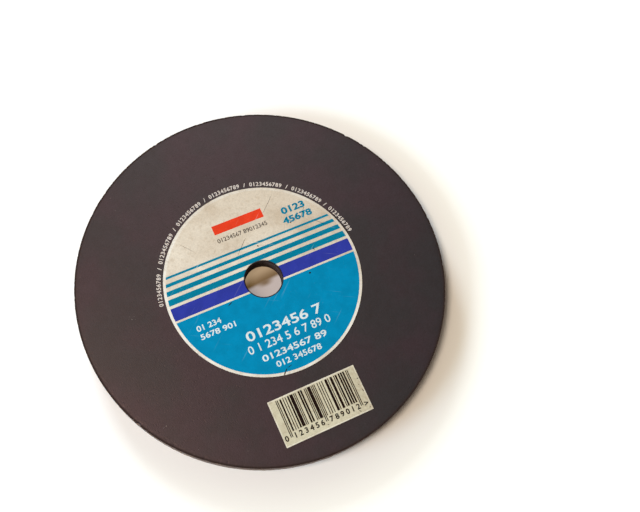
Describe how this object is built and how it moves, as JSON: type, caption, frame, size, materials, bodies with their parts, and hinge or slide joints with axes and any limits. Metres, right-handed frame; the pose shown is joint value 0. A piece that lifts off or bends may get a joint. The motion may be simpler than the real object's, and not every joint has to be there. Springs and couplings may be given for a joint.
{
  "type": "straight grinding wheel",
  "caption": "Flat round abrasive wheel with a central bore, a printed paper centre label and a barcode sticker on one face.",
  "frame": {"origin": "centre of the bore on the plain lower face", "axes": "+Z along the bore axis, out of the labelled face; +Y towards the label's upper edge, with the barcode sticker on the -Y side"},
  "size_m": [0.127, 0.127, 0.0061],
  "materials": {
    "abrasive": "matte",
    "label_paper": "matte",
    "navy_ink": "matte",
    "blue_ink": "matte",
    "teal_ink": "matte",
    "red_ink": "matte",
    "sticker_paper": "matte",
    "barcode_ink": "matte"
  },
  "bodies": {
    "root": {"abrasive_disc": "abrasive", "centre_label": "label_paper", "label_navy_band": "navy_ink", "label_blue_field": "blue_ink", "label_teal_stripes": "teal_ink", "label_red_headline": "red_ink", "barcode_sticker": "sticker_paper", "barcode_bars": "barcode_ink"}
  },
  "joints": []
}
